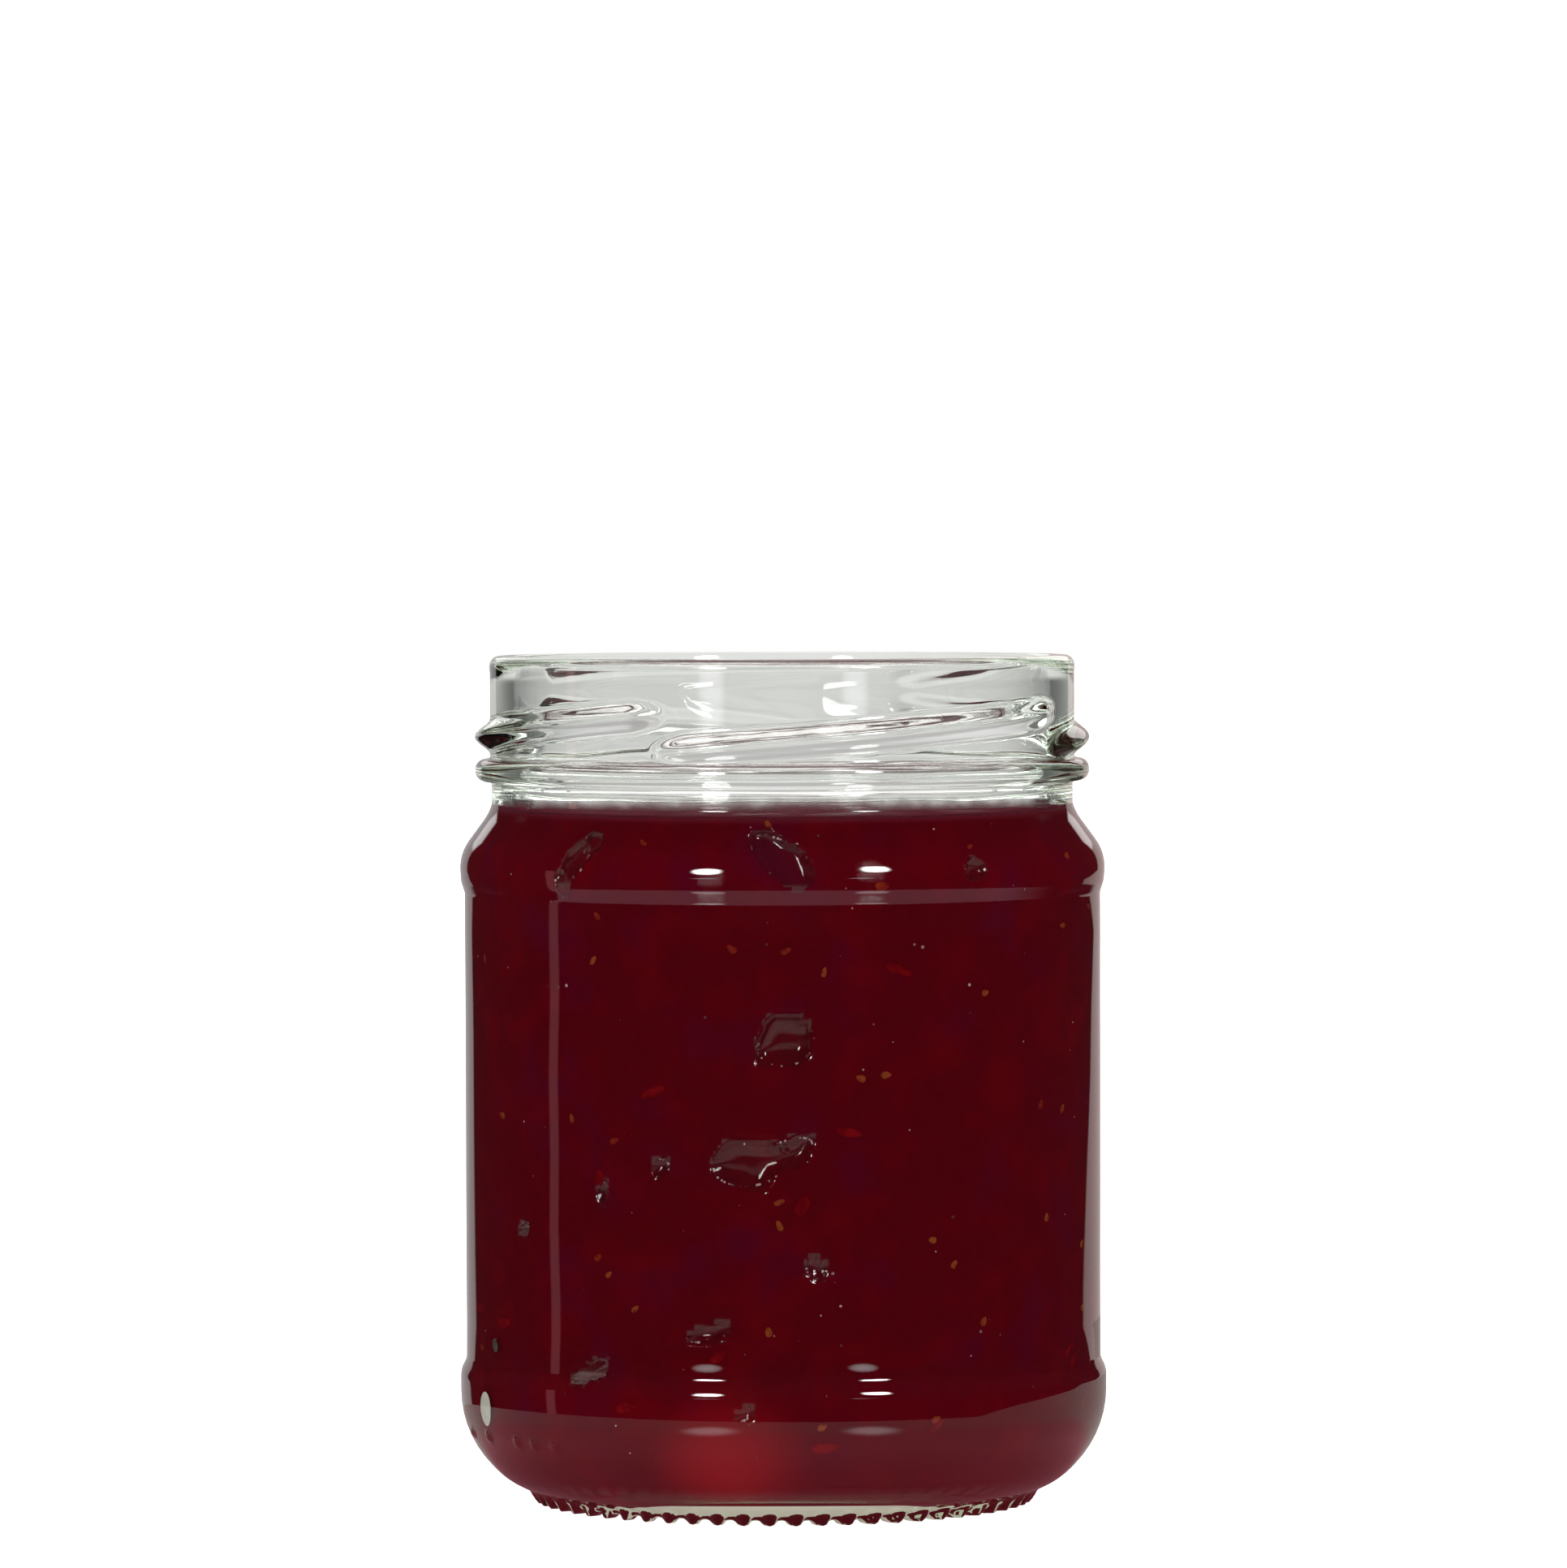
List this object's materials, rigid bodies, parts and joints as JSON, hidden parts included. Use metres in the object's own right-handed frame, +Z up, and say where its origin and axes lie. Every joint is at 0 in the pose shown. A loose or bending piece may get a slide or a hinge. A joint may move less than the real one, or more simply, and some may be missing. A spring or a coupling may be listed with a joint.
{
  "type": "twist-off jar of jam",
  "caption": "Open clear glass twist-off jar, filled into its neck with dark red jam, with a threaded mouth, beaded round body and ribbed foot.",
  "frame": {"origin": "centre of the jar's footprint, at the height of the surface that it stands on", "axes": "+Z up along the jar's axis, -Y towards the side that is seen from the front, +X to the right of that view"},
  "size_m": [0.0684, 0.0684, 0.0894],
  "materials": {
    "clear_glass": "smooth clear",
    "dark_red_jam": "wet gloss"
  },
  "bodies": {
    "root": {"glass_jar": "clear_glass", "jam": "dark_red_jam"}
  },
  "joints": []
}
